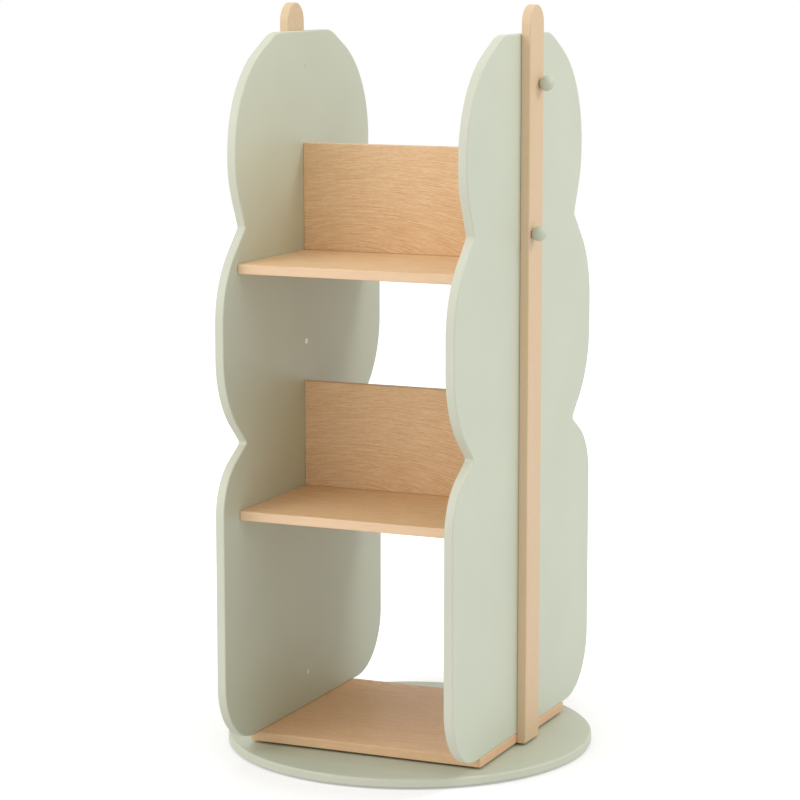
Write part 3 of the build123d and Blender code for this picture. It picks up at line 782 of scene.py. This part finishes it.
class BOOKCASE_OT_drive_dowels(bpy.types.Operator):
    """Drive the fluted dowels of the panels, the shelves and the rails"""

    bl_idname = "bookcase.drive_dowels"
    bl_label = "Drive Dowels"

    def execute(self, context):
        finish = context.scene.bookcase_finish
        tones = (finish.birch, finish.birch_ring, finish.birch)
        bare = finish.birch_roughness
        lying = planed_wood("birch_dowel_lying", tones, bare, UPWARD, LYING, DOWEL_CUT)
        upright = planed_wood("birch_dowel_upright", tones, bare, ALONG_X, UPRIGHT, DOWEL_CUT)
        ways = {
            "panel_dowels": UPWARD,
            "middle_shelf_dowels": ALONG_X,
            "upper_shelf_dowels": ALONG_X,
            "lower_divider_dowels": ALONG_X,
            "upper_divider_dowels": ALONG_X,
        }
        for node, way in ways.items():
            boxes = solids(node)
            pin = self.shape_dowel(context.scene.bookcase_fixings, boxes[0], way)
            wood = upright if way == UPWARD else lying
            settle(fill_boxes(pin, boxes, way), node, CASE, wood)
        return {"FINISHED"}

    def shape_dowel(self, fixings, box, way):
        """A dowel along Z from the origin, with chamfered ends and grooves for the glue."""
        size = box[1] - box[0]
        radius = size.y / 2
        length = abs(size.dot(way))
        chamfer = fixings.dowel_chamfer
        corners = 4  # around each flute, one of them in its groove
        sides = corners * fixings.dowel_flutes
        step = 2 * math.pi / sides
        groove_share = 0.9
        pin = turned(sides, [
            (radius - chamfer, 0), (radius, chamfer), (radius, length - chamfer), (radius - chamfer, length),
        ])
        bpy.ops.object.mode_set(mode="EDIT")
        pick("VERT", lambda corner: corner.co.xy.length > radius - SEAM
             and round(math.atan2(corner.co.y, corner.co.x) / step) % corners == 0)
        bpy.ops.transform.resize(value=(groove_share, groove_share, 1))
        bpy.ops.object.mode_set(mode="OBJECT")
        return pin


class BOOKCASE_OT_plate_locks(bpy.types.Operator):
    """Finish the shelves' cam locks and the studs of the knobs"""

    bl_idname = "bookcase.plate_locks"
    bl_label = "Finish Cam Locks and Studs"

    def execute(self, context):
        finish = context.scene.bookcase_finish
        cast = bare_metal(
            "zinc_die_cast_cams", finish.cast_zinc, roughness=0.42, spangle=0.8, patchiness=0.14
        )
        dress(cast, "middle_shelf_cams", "upper_shelf_cams")
        plated = bare_metal(
            "zinc_plated_steel_bolts", finish.zinc, roughness=0.28, spangle=1.2, patchiness=0.1
        )
        dress(plated, "middle_shelf_cam_bolts", "upper_shelf_cam_bolts", "knob_studs")
        return {"FINISHED"}


class BOOKCASE_OT_fit_turntable(bpy.types.Operator):
    """Finish the turntable's rings, balls, cage and pads, and screw the rings on"""

    bl_idname = "bookcase.fit_turntable"
    bl_label = "Fit Turntable"

    def execute(self, context):
        finish = context.scene.bookcase_finish
        rings = bare_metal(
            "zinc_plated_steel_rings", finish.zinc, roughness=0.34, spangle=7.0, patchiness=0.16
        )
        dress(rings, "bearing_lower_ring", "bearing_upper_ring")
        polished = bare_metal(
            "polished_steel_balls", finish.ball_steel, roughness=0.08, spangle=3.0, patchiness=0.02
        )
        dress(polished, "bearing_balls")
        dress(natural_nylon(finish), "ball_cage")
        dress(foamed_rubber(finish), "floor_pads")
        zinc = bare_metal(
            "zinc_plated_steel_ring_screws", finish.zinc, roughness=0.3, spangle=1.2, patchiness=0.1
        )
        for node, body, way in (("lower_ring_screws", BASE, -UPWARD), ("upper_ring_screws", CASE, UPWARD)):
            boxes = solids(node)
            screw = self.shape_screw(context.scene.bookcase_fixings, boxes[0])
            settle(fill_boxes(screw, boxes, way), node, body, zinc)
        return {"FINISHED"}

    def shape_screw(self, fixings, box):
        """A round-headed screw along Z, with the top of its head at the origin."""
        size = box[1] - box[0]
        head = size.y / 2
        length = size.z
        seat = fixings.ring_screw_head
        core = fixings.ring_screw_core / 2
        pitch = fixings.thread_pitch
        tip = length - fixings.screw_tip
        ease = 0.4 * seat  # radius of the rounding round the head
        steps = 4
        turns = [RIGHT_ANGLE * step / steps for step in range(steps + 1)]
        dome = [(head - ease + ease * math.sin(turn), ease - ease * math.cos(turn)) for turn in turns]
        screw = turned(SCREW_SIDES, [*dome, (head, seat), (core, seat), (core, tip), (SCREW_POINT, length)])
        cut_cross(screw, fixings, fixings.ring_cross_depth)
        wind_thread(screw, core, fixings.ring_screw_crest / 2, pitch, seat + pitch, tip)
        return screw


class BOOKCASE_OT_set_studio(bpy.types.Operator):
    """Set the floor, the lights and the camera"""

    bl_idname = "bookcase.set_studio"
    bl_label = "Set Studio"

    def execute(self, context):
        studio = context.scene.bookcase_studio
        self.lay_floor()
        self.light_dome(context, studio)
        for name, (place, width) in SOFTBOXES.items():
            self.hang_softbox(name + "_softbox", place, width, getattr(studio, name))
        camera = bpy.data.cameras.new("studio_camera")
        camera.lens = studio.lens
        stand = bpy.data.objects.new("studio_camera", camera)
        stand.location = studio.camera_place
        stand.rotation_euler = studio.camera_turn
        context.scene.collection.objects.link(stand)
        context.scene.camera = stand
        context.scene.view_settings.view_transform = "Standard"
        return {"FINISHED"}

    def lay_floor(self):
        """A white floor that shows as the background does, apart from the object's shadow."""
        paper_tone = 0.82  # as the object is lit by it
        seen_tone = 0.7  # as the eye sees it, under its glow
        bpy.ops.object.select_all(action="DESELECT")
        bpy.ops.mesh.primitive_plane_add(size=14.0)
        floor = bpy.context.object
        floor.name = "studio_floor"
        material, tree, shader, place = start_material("white_paper_sweep")
        tree.nodes.remove(shader)
        paper = add(tree, "ShaderNodeBsdfDiffuse", {"Color": solid([paper_tone] * 3)})
        shaded = add(tree, "ShaderNodeBsdfDiffuse", {"Color": solid([seen_tone] * 3)})
        # The lamps reach less of the floor further off, so it glows more there and stays as white
        reach = add(tree, "ShaderNodeVectorMath", {0: place.outputs["Object"]}, operation="LENGTH")
        strength = add(tree, "ShaderNodeMapRange", {
            "Value": reach.outputs["Value"],
            "From Min": 0.25, "From Max": 0.6, "To Min": 0.36, "To Max": 0.65,
        })
        glow = add(tree, "ShaderNodeEmission", {"Color": WHITE, "Strength": strength.outputs[0]})
        bright = add(tree, "ShaderNodeAddShader", {0: shaded.outputs[0], 1: glow.outputs[0]})
        mixed = add(tree, "ShaderNodeMixShader", {
            0: seen_directly(tree), 1: paper.outputs[0], 2: bright.outputs[0],
        })
        feed(tree, tree.nodes["Material Output"], {"Surface": mixed.outputs[0]})
        floor.data.materials.append(material)

    def light_dome(self, context, studio):
        """An even dome of light that is plain white where it is seen."""
        world = bpy.data.worlds.new("studio_dome")
        world.use_nodes = True
        tree = world.node_tree
        lit = tree.nodes["Background"]
        feed(tree, lit, {"Color": WHITE, "Strength": studio.dome})
        plain = add(tree, "ShaderNodeBackground", {"Color": WHITE, "Strength": 1.0})
        mixed = add(tree, "ShaderNodeMixShader", {
            0: seen_directly(tree), 1: lit.outputs[0], 2: plain.outputs[0],
        })
        feed(tree, tree.nodes["World Output"], {"Surface": mixed.outputs[0]})
        context.scene.world = world

    def hang_softbox(self, name, place, width, power):
        """A square softbox that faces the middle of the bookcase."""
        light = bpy.data.lights.new(name, "AREA")
        light.size = width
        light.energy = power
        box = bpy.data.objects.new(name, light)
        box.location = place
        aim = (CAD_BOX[0] + CAD_BOX[1]) / 2 - Vector(place)
        box.rotation_euler = aim.to_track_quat("-Z", "Y").to_euler()
        bpy.context.scene.collection.objects.link(box)


class BOOKCASE_PT_sidebar(bpy.types.Panel):
    """The bookcase's settings, and its operators in the order in which they run"""

    bl_label = "Revolving Bookcase"
    bl_space_type = "VIEW_3D"
    bl_region_type = "UI"
    bl_category = "Bookcase"

    def draw(self, context):
        scene = context.scene
        for group in (scene.bookcase_finish, scene.bookcase_fixings, scene.bookcase_studio):
            for name in group.__annotations__:
                self.layout.prop(group, name)
        for operator in OPERATORS:
            self.layout.operator(operator.bl_idname)


GROUPS = {
    "bookcase_finish": BookcaseFinish,
    "bookcase_fixings": BookcaseFixings,
    "bookcase_studio": BookcaseStudio,
}
OPERATORS = (
    BOOKCASE_OT_paint_panels,
    BOOKCASE_OT_veneer_boards,
    BOOKCASE_OT_finish_posts,
    BOOKCASE_OT_turn_knobs,
    BOOKCASE_OT_drive_screws,
    BOOKCASE_OT_drive_dowels,
    BOOKCASE_OT_plate_locks,
    BOOKCASE_OT_fit_turntable,
    BOOKCASE_OT_set_studio,
)
CLASSES = (*GROUPS.values(), *OPERATORS, BOOKCASE_PT_sidebar)


def register():
    for item in CLASSES:
        bpy.utils.register_class(item)
    for name, group in GROUPS.items():
        setattr(bpy.types.Scene, name, PointerProperty(type=group))


def unregister():
    for name in GROUPS:
        delattr(bpy.types.Scene, name)
    for item in reversed(CLASSES):
        bpy.utils.unregister_class(item)


def main():
    register()
    bpy.ops.bookcase.paint_panels()
    bpy.ops.bookcase.veneer_boards()
    bpy.ops.bookcase.finish_posts()
    bpy.ops.bookcase.turn_knobs()
    bpy.ops.bookcase.drive_screws()
    bpy.ops.bookcase.drive_dowels()
    bpy.ops.bookcase.plate_locks()
    bpy.ops.bookcase.fit_turntable()
    bpy.ops.bookcase.set_studio()


if __name__ == "__main__":
    main()
